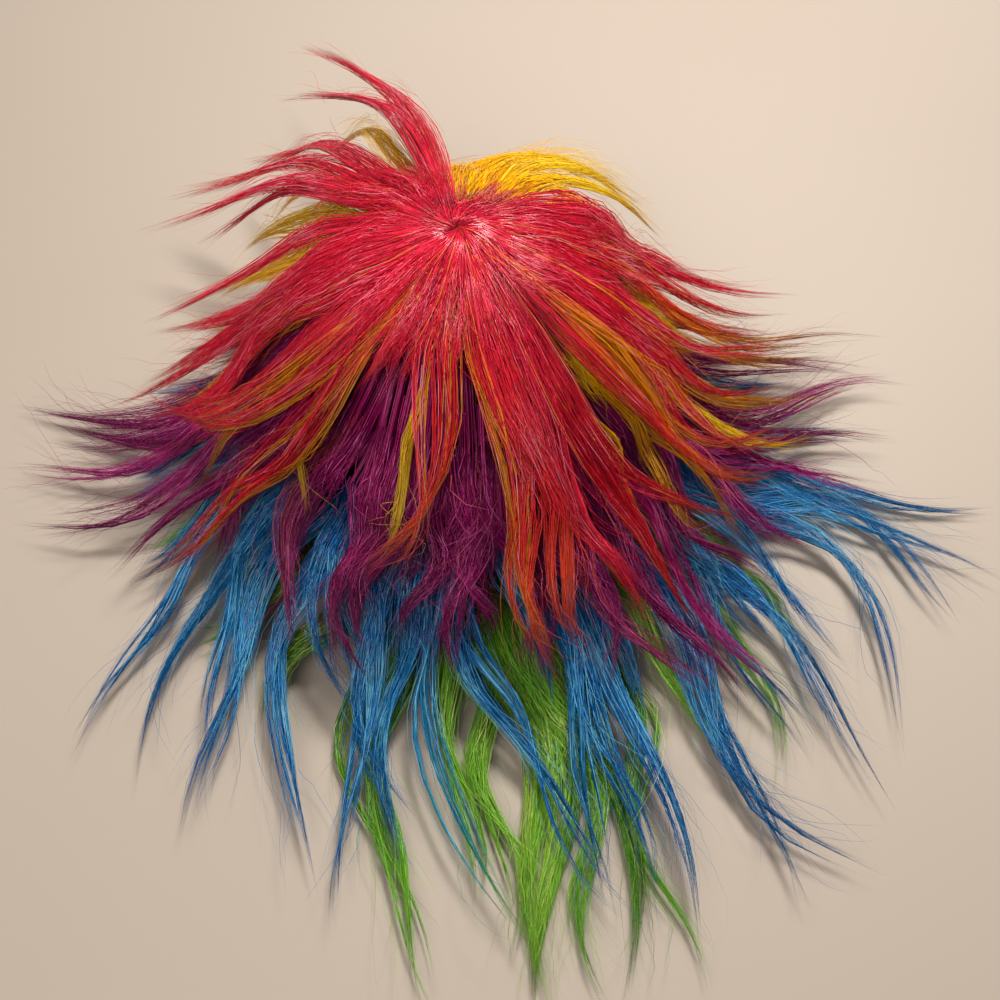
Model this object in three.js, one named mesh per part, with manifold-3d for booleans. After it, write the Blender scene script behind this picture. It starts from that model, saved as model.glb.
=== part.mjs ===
import * as THREE from 'three';
import { mergeVertices } from 'three/addons/utils/BufferGeometryUtils.js';
import Module from 'manifold-3d';

// A layered wig lying on its rim: an open cap with five tiers of hair.
// Millimetres, Z up. The nape faces -Y and the forehead +Y.

// Cap
const CAP_RADIUS = 98;
const CAP_OVAL = 0.9;
const CAP_HEIGHT = 130;
const CAP_WALL = 2;
const CROWN_LEAN = 24;
const TURN = 15;
const DOME_STEP = 15;

// Sweep of the hair from the head's side out to the table
const LEAVE = 54;
const TABLE_RUN = 420;

// Tiers of hair
const LAYER = 9;
const LOCK_THICK = 5.2;
const TIP_THICK = 0.9;
const TIP_WIDTH = 0.7;
const LOCK_SIDES = 4;
const RING_STEP = 42;
const ROOT_BLEND = 34;
const CROWN_ROOT_WIDTH = 0.35;
const WEFT_ROOT_WIDTH = 0.75;
const FULL_WIDTH_AT = 0.33;
const TAPER_POWER = 2.4;
const TAPER_SOFTEN = 0.8;
const LAP = 26;
const WEFT_HIGH = 21;
const WEFT_THICK = 2.2;
const SEWN_GAP = 0.3;
const WEFT_GAP = 0.8;
const ROOT_RISE = 1.4;
const WHORL_RISE = 3.2;
const WHORL_EDGE = 22;
const WHORL_START = 18;

const rad = THREE.MathUtils.degToRad;
const ease = (v) => THREE.MathUtils.smoothstep(v, 0, 1);

// Each tier: height of its weft on the cap, how far round the head it goes from the
// nape to each side, and its colour. The crown tier has no height: it is the whorl.
const TIERS = [
  { name: 'green_nape', weft: 38, reachRound: 66, colour: 0x50962a },
  { name: 'blue_layer', weft: 66, reachRound: 104, colour: 0x145aa0 },
  { name: 'purple_layer', weft: 93, reachRound: 126, colour: 0x5a0a4b },
  { name: 'yellow_layer', weft: 112, reachRound: 180, colour: 0xe1aa0a },
  { name: 'pink_crown', weft: CAP_HEIGHT, reachRound: 180, colour: 0xe13250 },
];
const FADE = 26;

// The fringe over the forehead stands off the head: how far, how much more for each
// tier, from which angle on, and the runs over which it rises and settles.
const PUFF = {
  high: 24,
  part: 3,
  from: 110,
  over: 40,
  rise: [30, 110],
  settle: [170, 290],
  left: 0.1,
};

// Locks of each tier. Columns: angle of the root round the head and of the tip round
// the crown (0 at the nape, plus to the right), sideways bow in degrees, distance of
// the tip from the crown, lift of the tip over its tier, arch of the middle, and half
// width.
const LOCKS = {
  green_nape: [
    [-46, -40, 0, 200, 0, 0, 10],
    [-30, -26, 0, 215, 0, 0, 10],
    [-17, -1, -4, 318, 0, 0, 7],
    [-11, -4, -3, 292, 0, 0, 8],
    [-3, 1, 2, 275, 0, 0, 8],
    [4, 5, 1, 298, 0, 0, 8],
    [10, 8, 2, 325, 0, 0, 17],
    [15, 12, 2, 322, 0, 0, 12],
    [24, 13, 4, 320, 0, 0, 10],
    [30, 18, 1, 326, 0, 0, 8],
    [40, 30, 3, 250, 0, 0, 9],
    [54, 33, 8, 268, 0, 0, 7],
    [62, 46, 4, 226, 0, 0, 7],
  ],
  blue_layer: [
    [-86, -74, 0, 185, 0, 0, 14],
    [-70, -56, 0, 205, 0, 0, 14],
    [-58, -40, -8, 270, -5, 0, 8],
    [-50, -33, -10, 265, -5, 0, 12],
    [-50, -27, -11, 240, 0, 0, 8],
    [-42, -26, -7, 270, -5, 0, 11],
    [-38, -12, -8, 200, 1, 0, 6],
    [-34, -14, -6, 280, -5, 0, 9],
    [-26, -4, -4, 242, 0, 0, 7],
    [-16, -10, -4, 290, -3, 0, 7],
    [-10, -6, -2, 268, 0, 0, 7],
    [-4, 6, -4, 302, 0, 0, 5],
    [2, 17, -5, 292, 0, 0, 8],
    [14, 13, 6, 292, 0, 0, 9],
    [20, 17, 4, 290, 0, 0, 9],
    [27, 19, 5, 308, 0, 0, 10],
    [42, 28, 2, 314, -5, 0, 9],
    [46, 35, -4, 320, -5, 0, 7],
    [56, 41, -2, 304, -5, 0, 8],
    [64, 46, 9, 295, -5, 0, 9],
    [68, 62, 5, 284, -5, 0, 12],
    [74, 67, 3, 302, -5, 0, 9],
    [84, 76, -2, 288, -5, 0, 8],
    [94, 84, 0, 215, 0, 0, 13],
  ],
  purple_layer: [
    [-112, -98, 0, 165, 0, 0, 14],
    [-98, -85, 2, 240, -9, 0, 11],
    [-89, -78, 1, 249, -10, 0, 8],
    [-82, -71, 3, 232, -10, 0, 9],
    [-70, -54, -2, 213, -4, 0, 10],
    [-56, -46, -6, 172, 0, 0, 12],
    [-38, -24, -12, 187, 0, 0, 10],
    [-26, -13, -7, 190, 0, 0, 11],
    [-14, -15, -2, 175, 0, 0, 10],
    [-6, -9, 2, 172, 0, 0, 10],
    [1, -2, 3, 184, 0, 0, 9],
    [8, 4, 0, 165, 0, 0, 12],
    [16, 13, 0, 188, 0, 0, 10],
    [27, 22, 3, 197, 0, 0, 12],
    [40, 33, -5, 232, 0, 0, 6],
    [44, 34, 2, 236, 0, 0, 11],
    [54, 41, 0, 242, 0, 0, 7],
    [62, 48, 4, 208, 0, 0, 9],
    [70, 60, 2, 215, 0, 0, 11],
    [80, 72, -2, 232, 0, 0, 10],
    [89, 82, -2, 236, -4, 0, 10],
    [98, 90, -1, 246, -4, 0, 10],
    [106, 92, 2, 226, 0, 0, 10],
    [118, 102, 0, 178, 0, 0, 14],
  ],
  yellow_layer: [
    [178, 140, 4, 160, 1, 16, 13],
    [168, 138, 2, 138, 1, 12, 12],
    [-173, -176, 0, 145, 1, 0, 13],
    [-164, -158, -4, 196, 4, 22, 10],
    [-144, -131, 0, 160, 0, 0, 12],
    [-130, -121, 0, 154, 0, 0, 12],
    [-112, -100, 0, 150, 0, 0, 13],
    [-96, -82, -3, 158, 0, 0, 10],
    [-78, -55, -4, 158, 0, 0, 9],
    [-54, -34, -4, 136, 0, 0, 6],
    [-14, -15, 0, 140, 0, 0, 7],
    [8, 0, 0, 138, 0, 0, 8],
    [40, 36, 0, 140, 0, 0, 10],
    [64, 50, -2, 150, 0, 0, 9],
    [78, 49, 0, 172, 0, 0, 9],
    [80, 80, -4, 194, 0, 0, 6],
    [98, 93, -2, 206, 0, 0, 9],
    [111, 97, 0, 210, 0, 0, 8],
    [121, 96, 0, 232, -4, 0, 6],
    [138, 115, 2, 152, 0, 0, 12],
  ],
  pink_crown: [
    [-177, -157, -1, 280, 26, 26, 9],
    [-169, -153, -4, 264, -4, 28, 7],
    [-153, -141, -3, 224, 0, 20, 11],
    [-142, -120, -12, 210, -2, 18, 12],
    [-134, -124, -6, 197, -2, 14, 9],
    [-116, -100, -2, 166, 0, 0, 15],
    [-104, -86, -3, 182, -5, 0, 20],
    [-92, -78, -2, 174, -5, 0, 16],
    [-56, -51, 4, 203, -7, 0, 9],
    [-36, -36, -3, 102, 0, 0, 5],
    [-58, -52, 0, 96, 0, 0, 12],
    [-34, -28, 0, 92, 0, 0, 12],
    [-8, -15, 3, 160, 0, 0, 7],
    [12, 13, 3, 200, -4, 0, 11],
    [20, 19, 2, 192, 0, 0, 12],
    [30, 28, 2, 190, 0, 0, 12],
    [40, 35, 0, 198, 0, 0, 9],
    [52, 57, -10, 180, 0, 0, 8],
    [76, 77, -6, 174, 0, 0, 18],
    [98, 93, -2, 180, 0, 0, 18],
    [116, 104, 2, 172, 0, 0, 12],
    [126, 106, 4, 188, 0, 0, 12],
    [134, 112, 2, 150, 2, 0, 9],
  ],
};

// The bell that all the tiers lie on, as distance from the middle against height:
// over the head's top and side, round a wide curve and out along the table.
const leave = rad(LEAVE);
const leaveSlope = Math.atan2(
  CAP_HEIGHT * Math.sin(leave),
  CAP_RADIUS * Math.cos(leave),
);
const sweepRadius = (CAP_HEIGHT * Math.cos(leave)) / (1 - Math.cos(leaveSlope));
const sweepMiddle = CAP_RADIUS * Math.sin(leave) + sweepRadius * Math.sin(leaveSlope);
const down = Math.PI / 2;
const bell = new THREE.Path();
bell.absellipse(0, 0, CAP_RADIUS, CAP_HEIGHT, down, down - leave, true, 0);
bell.absarc(sweepMiddle, sweepRadius, sweepRadius, -down - leaveSlope, -down, false);
bell.lineTo(TABLE_RUN, 0);
const bellLength = bell.getLength();

// A point of the bell and its outward direction, at a run from the crown.
function bellAt(run) {
  const u = THREE.MathUtils.clamp(run / bellLength, 0.0005, 0.9995);
  const here = bell.getPoint(u);
  const along = bell.getPoint(u + 0.0004).sub(bell.getPoint(u - 0.0004)).normalize();
  return { r: here.x, z: here.y, outR: -along.y, outZ: along.x };
}

// Run at which a value of the bell is reached, by halving.
function runWhere(reached) {
  let low = 0;
  let high = bellLength;
  for (let i = 0; i < 30; i += 1) {
    const middle = (low + high) / 2;
    if (reached(middle)) high = middle;
    else low = middle;
  }
  return high;
}

for (const tier of TIERS) {
  tier.run = runWhere((run) => bellAt(run).z <= tier.weft);
}

// How far tier number k lies off the bell: half its own thickness over the tiers below.
function depth(k, angle, run) {
  let off = LAYER / 2;
  const degrees = THREE.MathUtils.radToDeg(angle);
  const round = Math.abs(THREE.MathUtils.euclideanModulo(degrees + 180, 360) - 180);
  for (const tier of TIERS.slice(0, k)) {
    const there = 1 - ease((round - tier.reachRound) / FADE);
    off += LAYER * there * ease((run - tier.run + LAP) / LAP);
  }
  const front = ease((round - PUFF.from) / PUFF.over);
  const risen = THREE.MathUtils.smoothstep(run, ...PUFF.rise);
  const settled = THREE.MathUtils.smoothstep(run, ...PUFF.settle);
  const high = PUFF.high + PUFF.part * k;
  return off + high * front * risen * (1 - (1 - PUFF.left) * settled);
}

// The head's plan: an oval whose crown stands forward of the middle of the rim.
function onHead(x, y, z) {
  const lean = CROWN_LEAN * ease(Math.hypot(x, y) / CAP_RADIUS);
  return new THREE.Vector3(x * CAP_OVAL, y - lean, z);
}

// A point at an angle round the head, a run from the crown and a height off the bell.
function place(angle, run, off) {
  const b = bellAt(run);
  const r = b.r + b.outR * off;
  return onHead(r * Math.sin(angle), -r * Math.cos(angle), b.z + b.outZ * off);
}

// How far the cap's wall stands inside the bell at a run, for roots low on the head.
function wallBehind(run) {
  const b = bellAt(run);
  const wall = CAP_RADIUS * Math.sqrt(Math.max(0, 1 - (b.z / CAP_HEIGHT) ** 2));
  return run > 60 ? Math.max(0, b.r - wall) : 0;
}

// Moves every vertex of a geometry to where a function puts it.
function bend(geometry, where) {
  const position = geometry.getAttribute('position');
  const v = new THREE.Vector3();
  for (let i = 0; i < position.count; i += 1) {
    v.fromBufferAttribute(position, i);
    const to = where(v);
    position.setXYZ(i, to.x, to.y, to.z);
  }
  return geometry;
}

const wasm = await Module();
wasm.setup();

// A closed solid from a geometry: seams welded, collapsed faces dropped, faces outward.
function solid(geometry) {
  geometry.deleteAttribute('normal');
  geometry.deleteAttribute('uv');
  const welded = mergeVertices(geometry, 1e-3);
  const position = welded.getAttribute('position');
  const index = welded.getIndex().array;
  const corners = [];
  let volume = 0;
  const a = new THREE.Vector3();
  const b = new THREE.Vector3();
  const c = new THREE.Vector3();
  for (let i = 0; i < index.length; i += 3) {
    const [p, q, s] = [index[i], index[i + 1], index[i + 2]];
    if (p !== q && q !== s && s !== p) {
      corners.push([p, q, s]);
      a.fromBufferAttribute(position, p);
      b.fromBufferAttribute(position, q);
      c.fromBufferAttribute(position, s);
      volume += a.dot(b.cross(c));
    }
  }
  const outward = volume > 0 ? corners : corners.map(([p, q, s]) => [p, s, q]);
  return new wasm.Manifold(new wasm.Mesh({
    numProp: 3,
    vertProperties: new Float32Array(position.array),
    triVerts: new Uint32Array(outward.flat()),
  }));
}

// A lathe about the vertical, then set to the head's plan.
function turned(profile) {
  const geometry = new THREE.LatheGeometry(profile, 360 / TURN);
  geometry.rotateX(Math.PI / 2);
  return bend(geometry, (v) => onHead(v.x, v.y, v.z));
}

// A point of the dome's section, at an angle from the crown down to the rim.
function domePoint(t, radius, height) {
  const r = t ? radius * Math.sin(rad(t)) : 0;
  return new THREE.Vector2(r, t === 90 ? 0 : height * Math.cos(rad(t)));
}

// The cap: a thin dome open below, with a flat rim.
function capSolid() {
  const profile = [];
  for (let t = 0; t <= 90; t += DOME_STEP) {
    profile.push(domePoint(t, CAP_RADIUS - CAP_WALL, CAP_HEIGHT - CAP_WALL));
  }
  for (let t = 90; t >= 0; t -= DOME_STEP) profile.push(domePoint(t, CAP_RADIUS, CAP_HEIGHT));
  return solid(turned(profile));
}

// The sewn strip of a tier, hugging the cap at its weft height.
function weftSolid(tier) {
  const half = Math.min(180, Math.ceil(tier.reachRound / TURN) * TURN);
  const steps = (2 * half) / TURN;
  const strip = new THREE.BoxGeometry(2 * half, WEFT_HIGH, WEFT_THICK, steps, 1, 1);
  bend(strip, (v) => {
    const run = tier.run - v.y;
    const off = WEFT_GAP + WEFT_THICK / 2 + v.z - wallBehind(run);
    return place(rad(v.x), run, off);
  });
  if (half < 180) return solid(strip);
  // A strip that goes right round has no ends, so those two groups of faces go.
  const [oneEnd, otherEnd] = strip.groups;
  const index = Array.from(strip.getIndex().array);
  index.splice(oneEnd.start, oneEnd.count + otherEnd.count);
  strip.setIndex(index);
  return solid(strip);
}

// The knot of hair at the crown: a thin domed round on the steps of the cap.
function whorlSolid() {
  const under = [[0, SEWN_GAP], [DOME_STEP, SEWN_GAP], [WHORL_EDGE, SEWN_GAP]];
  const over = [[WHORL_EDGE, 2], [DOME_STEP, LAYER * 0.8], [0, LAYER]];
  const profile = [...under, ...over].map(([t, off]) => {
    const out = new THREE.Vector2(Math.sin(rad(t)) / CAP_RADIUS, Math.cos(rad(t)) / CAP_HEIGHT);
    out.setLength(off);
    return out.add(domePoint(t, CAP_RADIUS, CAP_HEIGHT));
  });
  return solid(turned(profile));
}

// One lock: a tapered bar bent along its tier from the root to the tip.
function lockSolid(k, row) {
  const [root, tipRound, bow, reach, lift, arch, halfWidth] = row;
  const tier = TIERS[k];
  const crown = k === TIERS.length - 1;
  const from = crown ? WHORL_START : tier.run;
  const x = (reach * Math.sin(rad(tipRound))) / CAP_OVAL;
  const y = -reach * Math.cos(rad(tipRound)) + CROWN_LEAN;
  const out = Math.hypot(x, y);
  const tipAngle = Math.atan2(x, -y);
  const nearTip = tipAngle + 2 * Math.PI * Math.round((rad(root) - tipAngle) / (2 * Math.PI));
  const to = runWhere((run) => {
    const b = bellAt(run);
    return b.r + b.outR * depth(k, tipAngle, run) >= out;
  });
  const angleAt = (u) => rad(root) + (nearTip - rad(root)) * u + rad(bow) * Math.sin(Math.PI * u);
  const runAt = (u) => from + (to - from) * u;
  const steps = Math.max(3, Math.round((to - from) / RING_STEP));
  const bar = new THREE.CylinderGeometry(1, 1, 1, LOCK_SIDES, steps, false);
  bend(bar, (v) => {
    const u = 0.5 - v.y;
    const run = runAt(u);
    const angle = angleAt(u);
    const r = Math.max(bellAt(run).r, WHORL_START);
    const turnBy = ((angleAt(u + 0.01) - angleAt(u - 0.01)) / 0.02) * r;
    const length = Math.hypot(turnBy, to - from);
    const rootWidth = crown ? CROWN_ROOT_WIDTH : WEFT_ROOT_WIDTH;
    const fill = THREE.MathUtils.lerp(rootWidth, 1, ease(u / FULL_WIDTH_AT));
    const taper = (1 - u ** TAPER_POWER) ** TAPER_SOFTEN;
    const across = v.x * Math.max(TIP_WIDTH, halfWidth * fill * taper);
    const thick = (v.z * Math.max(TIP_THICK, LOCK_THICK * Math.min(1, 1.6 * taper))) / 2;
    const rise = crown ? WHORL_RISE : ROOT_RISE;
    const sideways = THREE.MathUtils.clamp((across * (to - from)) / length / r, -0.9, 0.9);
    const angleHere = angle + sideways;
    const runHere = run - (across * turnBy) / length;
    const off = THREE.MathUtils.lerp(
      rise + LOCK_THICK / 2 - wallBehind(runHere),
      depth(k, angleHere, runHere),
      ease((run - from) / ROOT_BLEND),
    );
    const raised = lift * ease(u) * u + arch * Math.sin(Math.PI * u ** 1.5);
    return place(angleHere, runHere, off + raised + thick);
  });
  return solid(bar);
}

// One tier: its weft or whorl with all its locks fused to it. Small pockets that
// crossing locks shut in are filled.
function tierSolid(k) {
  const tier = TIERS[k];
  let whole = tier.name === 'pink_crown' ? whorlSolid() : weftSolid(tier);
  for (const row of LOCKS[tier.name]) whole = whole.add(lockSolid(k, row));
  const shells = whole.decompose().filter((shell) => shell.volume() > 0);
  return wasm.Manifold.union(shells);
}

// A named mesh of a solid.
function piece(name, body, colour, roughness) {
  const mesh = body.getMesh();
  const geometry = new THREE.BufferGeometry();
  const position = new THREE.BufferAttribute(new Float32Array(mesh.vertProperties), 3);
  geometry.setAttribute('position', position);
  geometry.setIndex(new THREE.BufferAttribute(new Uint32Array(mesh.triVerts), 1));
  geometry.computeVertexNormals();
  const material = new THREE.MeshStandardMaterial({ color: colour, roughness, metalness: 0 });
  const made = new THREE.Mesh(geometry, material);
  made.name = name;
  return made;
}

const wig = new THREE.Group();
wig.name = 'wig';
wig.add(piece('cap', capSolid(), 0x2a2226, 0.8));
TIERS.forEach((tier, k) => wig.add(piece(tier.name, tierSolid(k), tier.colour, 0.45)));

// The whole stands on the middle of its base.
const box = new THREE.Box3().setFromObject(wig);
const middle = box.getCenter(new THREE.Vector3());
for (const made of wig.children) made.geometry.translate(-middle.x, -middle.y, -box.min.z);

export default wig;
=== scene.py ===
"""A layered wig lying on a table: an open net cap with five tiers of glossy false hair."""

import logging
import math
from dataclasses import dataclass, field
from enum import IntEnum

import bpy
import numpy as np
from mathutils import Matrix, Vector


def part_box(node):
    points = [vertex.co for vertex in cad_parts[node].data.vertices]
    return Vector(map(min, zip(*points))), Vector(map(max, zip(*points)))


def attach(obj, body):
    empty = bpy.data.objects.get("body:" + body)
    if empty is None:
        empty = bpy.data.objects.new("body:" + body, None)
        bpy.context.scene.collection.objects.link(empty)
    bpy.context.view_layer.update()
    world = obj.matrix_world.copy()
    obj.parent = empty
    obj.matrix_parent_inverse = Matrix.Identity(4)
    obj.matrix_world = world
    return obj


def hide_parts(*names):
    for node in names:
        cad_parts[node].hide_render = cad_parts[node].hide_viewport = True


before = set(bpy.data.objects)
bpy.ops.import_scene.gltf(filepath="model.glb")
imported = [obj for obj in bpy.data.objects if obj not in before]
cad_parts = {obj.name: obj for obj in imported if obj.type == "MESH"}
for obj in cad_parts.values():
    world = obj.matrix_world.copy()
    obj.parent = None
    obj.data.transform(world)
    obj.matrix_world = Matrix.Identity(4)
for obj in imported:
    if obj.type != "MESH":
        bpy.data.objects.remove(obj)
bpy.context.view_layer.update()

Array = np.ndarray
Colour = tuple[float, float, float]
Place = tuple[float, float, float]
Stop = tuple[float, Colour]
Span = tuple[float, float]
Columns = dict[str, Array]
Wefts = list[Span]

LOG = logging.getLogger("wig")
MM = 0.001
BODY = "root"
HAIR_MAP = "OFBake"


def ease(v: Array) -> Array:
    """Smooth step of a value between 0 and 1: v squared times (3 less 2 v).

    Args:
        v: Any numbers; those outside 0 to 1 are held at the ends.

    Returns:
        The eased numbers.
    """
    held = np.clip(v, 0.0, 1.0)
    return held * held * (3.0 - 2.0 * held)


def mix(a: Array, b: Array, part: Array) -> Array:
    """The value a part of the way from a to b."""
    return a + (b - a) * part


def linear(colour: Colour) -> tuple[float, float, float, float]:
    """Turns an sRGB colour of 0 to 255 into a linear one with alpha.

    Args:
        colour: Red, green and blue as seen on a screen.

    Returns:
        The linear colour that a shader socket takes.
    """
    parts = [c / 255.0 for c in colour]
    curve = [c / 12.92 if c <= 0.04045 else ((c + 0.055) / 1.055) ** 2.4 for c in parts]
    return (curve[0], curve[1], curve[2], 1.0)


class Value:
    """A shader socket that carries a number; arithmetic on it adds Math nodes."""

    def __init__(self, graph: "Graph", socket: bpy.types.NodeSocket) -> None:
        """Keeps the socket and the graph that it is in."""
        self.graph = graph
        self.socket = socket

    def __add__(self, other: "Value | float") -> "Value":
        """Sum of two values."""
        return self.graph.math("ADD", self, other)

    __radd__ = __add__

    def __sub__(self, other: "Value | float") -> "Value":
        """This value less another."""
        return self.graph.math("SUBTRACT", self, other)

    def __rsub__(self, other: "Value | float") -> "Value":
        """Another value less this one."""
        return self.graph.math("SUBTRACT", other, self)

    def __mul__(self, other: "Value | float") -> "Value":
        """Product of two values."""
        return self.graph.math("MULTIPLY", self, other)

    def __gt__(self, other: "Value | float") -> "Value":
        """1 where this value is the greater one, and 0 elsewhere."""
        return self.graph.math("GREATER_THAN", self, other)

    def floor(self) -> "Value":
        """The whole part of the value."""
        return self.graph.math("FLOOR", self, 0.0)

    def clamp(self) -> "Value":
        """The value held between 0 and 1."""
        return self.graph.math("ADD", self, 0.0, use_clamp=True)


class Graph:
    """The node tree of one material, with its Principled shader."""

    def __init__(self, name: str) -> None:
        """Starts a material that has only a shader and an output.

        Args:
            name: Name of the material.
        """
        self.material = bpy.data.materials.new(name)
        self.material.use_nodes = True
        self.tree = self.material.node_tree
        self.tree.nodes.clear()
        self.shader = self.node("ShaderNodeBsdfPrincipled", {}, {})
        self.node("ShaderNodeOutputMaterial", {}, {"Surface": self.shader.outputs[0]})

    def put(self, socket: bpy.types.NodeSocket, value: object) -> None:
        """Links a socket or sets its constant.

        Args:
            socket: The input.
            value: A Value, a socket, or a constant.
        """
        if isinstance(value, Value):
            self.tree.links.new(value.socket, socket)
        elif isinstance(value, bpy.types.NodeSocket):
            self.tree.links.new(value, socket)
        else:
            socket.default_value = value

    def node(self, kind: str, settings: dict, inputs: dict) -> bpy.types.Node:
        """Adds a node.

        Args:
            kind: The node's type.
            settings: Its settings by name; "stops" fills a colour ramp.
            inputs: Values, sockets or constants by the input's name or number.

        Returns:
            The node.
        """
        made = self.tree.nodes.new(kind)
        for key, value in settings.items():
            if key == "stops":
                self.fill_ramp(made.color_ramp, value)
            else:
                setattr(made, key, value)
        for key, value in inputs.items():
            self.put(made.inputs[key], value)
        return made

    @staticmethod
    def fill_ramp(ramp: bpy.types.ColorRamp, stops: tuple[Stop, ...]) -> None:
        """Gives a colour ramp its stops.

        Args:
            ramp: The ramp, which has two stops to begin with.
            stops: Places from 0 to 1 with sRGB colours.
        """
        for place, colour in stops[1:-1]:
            ramp.elements.new(place).color = linear(colour)
        for end, (place, colour) in ((0, stops[0]), (-1, stops[-1])):
            ramp.elements[end].position = place
            ramp.elements[end].color = linear(colour)

    def math(
        self, operation: str, a: "Value | float", b: "Value | float", use_clamp: bool = False
    ) -> Value:
        """Adds a Math node.

        Args:
            operation: Its operation.
            a: First value.
            b: Second value.
            use_clamp: Whether the result is held between 0 and 1.

        Returns:
            The result.
        """
        settings = {"operation": operation, "use_clamp": use_clamp}
        made = self.node("ShaderNodeMath", settings, {0: a, 1: b})
        return Value(self, made.outputs[0])

    def ramp(self, at: Value, stops: tuple[Stop, ...]) -> bpy.types.NodeSocket:
        """A colour ramp read at a value.

        Args:
            at: Where the ramp is read, from 0 to 1.
            stops: Its stops.

        Returns:
            The colour.
        """
        return self.node("ShaderNodeValToRGB", {"stops": stops}, {0: at}).outputs[0]

    def blend(self, part: Value, a: object, b: object) -> bpy.types.NodeSocket:
        """A colour part of the way from a to b.

        Args:
            part: 0 for a to 1 for b.
            a: First colour.
            b: Second colour.

        Returns:
            The colour between.
        """
        settings = {"data_type": "RGBA", "clamp_result": True}
        made = self.node("ShaderNodeMix", settings, {0: part, 6: a, 7: b})
        return made.outputs[2]

    def scale(self, colour: bpy.types.NodeSocket, by: Value) -> bpy.types.NodeSocket:
        """A colour made lighter or darker by a factor."""
        made = self.node("ShaderNodeVectorMath", {"operation": "SCALE"}, {0: colour, "Scale": by})
        return made.outputs[0]

    def noise(self, vector: object, scale: float, detail: float) -> Value:
        """A noise texture's value.

        Args:
            vector: Where it is read.
            scale: Cycles for each unit.
            detail: Octaves of finer noise.

        Returns:
            The noise, mostly from 0.3 to 0.7.
        """
        inputs = {"Vector": vector, "Scale": scale, "Detail": detail}
        return Value(self, self.node("ShaderNodeTexNoise", {}, inputs).outputs[0])

    def dress(self, **inputs: object) -> bpy.types.Material:
        """Sets the shader's sockets and gives the material.

        Args:
            **inputs: Values by the socket's name, with _ for a space.

        Returns:
            The finished material.
        """
        for key, value in inputs.items():
            self.put(self.shader.inputs[key.replace("_", " ")], value)
        return self.material


class Dye(IntEnum):
    """The dye recipes of a tier, each a row of its colour chart."""

    PLAIN = 0
    BLEND = 1
    EDGE = 2
    TIP = 3


PLAIN, BLEND, EDGE, TIP = Dye


@dataclass(frozen=True)
class HairFinish:
    """Glossy false hair, dyed along its length.

    The hair's map runs along each strand in U. V holds the row of the dye and, within
    that row, how light the strand is, with painted light and shade in it. Streaks, sparks
    and sheens are noise, with so many cycles along U and V; sparks and sheens place painted
    glints, which turn the base colour towards a pale glint colour.
    """

    name: str
    dyes: tuple[tuple[Stop, ...], ...]
    # Colour of the painted glints in the base colour; it is also the real specular tint.
    painted_glint_and_specular_tint: Colour
    dark: float = 0.28
    light: float = 1.45
    rough: float = 0.32
    smoother: float = 0.16
    # shine to spark_gain set where and how strongly painted glints and sparks lighten the base colour.
    shine: float = 0.9
    glint: float = 0.78
    glint_gain: float = 3.5
    spark: float = 0.8
    spark_from: float = 0.66
    spark_gain: float = 9.0
    streaks: Span = (22.0, 180.0)
    sparks: Span = (95.0, 520.0)
    sheens: Span = (6.0, 34.0)

    @staticmethod
    def grain(along: Value, chart: Value, cycles: Span, detail: float) -> Value:
        """Noise drawn out along the hair.

        Args:
            along: The map's U.
            chart: The map's V.
            cycles: Cycles of the noise along U and V.
            detail: Octaves of finer noise.

        Returns:
            The noise.
        """
        g = along.graph
        where = g.node("ShaderNodeCombineXYZ", {}, {0: along * cycles[0], 1: chart * cycles[1]})
        return g.noise(where.outputs[0], 1.0, detail)

    def material(self) -> bpy.types.Material:
        """Builds the finish: dye by U and row, tone and fine streaks by V, and painted glints."""
        g = Graph(self.name)
        uv = g.node("ShaderNodeUVMap", {"uv_map": HAIR_MAP}, {}).outputs[0]
        parts = g.node("ShaderNodeSeparateXYZ", {}, {0: uv})
        along, chart = Value(g, parts.outputs[0]), Value(g, parts.outputs[1])
        band = chart * float(len(self.dyes))
        row = band.floor()
        colour = g.ramp(along, self.dyes[0])
        for number, stops in enumerate(self.dyes[1:]):
            colour = g.blend(row > number + 0.5, colour, g.ramp(along, stops))
        streak = self.grain(along, chart, self.streaks, 2.0)
        # Sparks and sheens are noise masks that place painted glints.
        spark = self.grain(along, chart, self.sparks, 0.0)
        spark = ((spark - self.spark_from) * self.spark_gain).clamp()
        painted_sheen = (self.grain(along, chart, self.sheens, 0.0) - 0.5) * self.shine
        tone = (band - row + (streak - 0.5)).clamp()
        relief = {"Strength": 0.4, "Distance": 0.0003, "Height": streak}
        bump = g.node("ShaderNodeBump", {}, relief)
        # Dye scaled by the strand's tone, which holds its random lightness and painted light and shade.
        lit = g.scale(colour, self.dark + tone * (self.light - self.dark))
        # Painted highlight: where tone, sheen and sparks pass the glint threshold, strongest
        # mid-length, the base colour turns towards the glint colour.
        bend = along * (1.0 - along) * 4.0
        painted_glint = (tone - self.glint + painted_sheen) * self.glint_gain + spark * self.spark
        base = g.blend((painted_glint * bend * bend).clamp(), lit, linear(self.painted_glint_and_specular_tint))
        rough = self.rough - tone * self.smoother
        g.dress(Specular_IOR_Level=0.2, Specular_Tint=linear(self.painted_glint_and_specular_tint))
        g.dress(Coat_Weight=0.35, Coat_Roughness=0.18, Coat_IOR=1.5)
        return g.dress(Base_Color=base, Roughness=rough, IOR=1.5, Normal=bump.outputs[0])


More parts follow.
